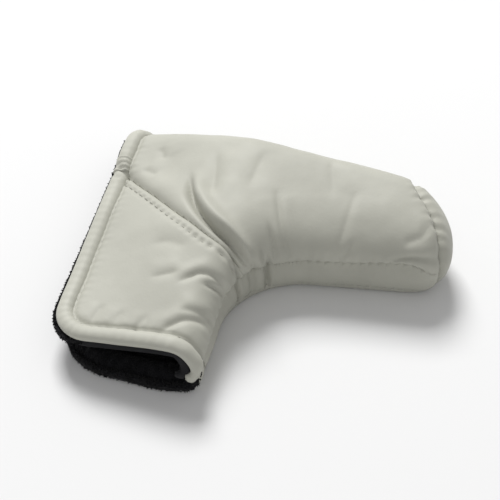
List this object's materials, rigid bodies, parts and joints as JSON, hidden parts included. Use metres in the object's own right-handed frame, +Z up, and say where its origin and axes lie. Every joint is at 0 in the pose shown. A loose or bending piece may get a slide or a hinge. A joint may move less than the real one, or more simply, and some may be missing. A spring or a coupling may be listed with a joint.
{
  "type": "putter head cover",
  "caption": "Padded L-shaped soft cover for a blade putter head, open along the heel side and at the neck end, with a pile lining and a neck flap that folds up.",
  "frame": {"origin": "centre of the cover's footprint, on the surface it lies on", "axes": "+X from the heel slit to the toe, the neck points to -Y, +Z up through the thickness"},
  "size_m": [0.164, 0.14, 0.042],
  "materials": {
    "outer_fabric": "matt smooth light stone grey synthetic leather",
    "edge_fabric": "the same material, rolled over the edge",
    "facing_tape": "flat black woven tape",
    "pile_lining": "deep black fleece pile",
    "foam": "sealed-in sheet padding",
    "magnet": "nickel plated",
    "thread": "light grey polyester thread"
  },
  "bodies": {
    "cover": {"upper_blade_panel": "outer_fabric", "lower_blade_panel": "outer_fabric", "upper_neck_panel": "outer_fabric", "lower_neck_panel": "outer_fabric", "side_gusset": "outer_fabric", "toe_piece": "outer_fabric", "upper_blade_padding": "foam", "lower_blade_padding": "foam", "upper_neck_padding": "foam", "lower_neck_padding": "foam", "side_gusset_padding": "foam", "toe_padding": "foam", "upper_blade_lining": "pile_lining", "lower_blade_lining": "pile_lining", "upper_neck_lining": "pile_lining", "lower_neck_lining": "pile_lining", "heel_rolled_edge": "edge_fabric", "neck_side_rolled_edge": "edge_fabric", "lower_rolled_edge": "edge_fabric", "heel_facing": "facing_tape", "neck_side_facing": "facing_tape", "lower_facing": "facing_tape", "lower_magnets": "magnet", "diagonal_seam_stitches": "thread", "heel_edge_stitches": "thread"},
    "neck_flap": {"neck_flap_panel": "outer_fabric", "neck_flap_padding": "foam", "neck_flap_lining": "pile_lining", "neck_flap_rolled_edge": "edge_fabric", "neck_flap_facing": "facing_tape", "neck_flap_magnets": "magnet", "neck_flap_edge_stitches": "thread"}
  },
  "joints": [
    {"name": "neck_flap_fold", "type": "hinge", "parent": "cover", "child": "neck_flap", "pos_m": [-0.082, 0.028, 0.034], "axis": [-0.5346, 0.8451, 0], "range_deg": [0, 40]}
  ]
}
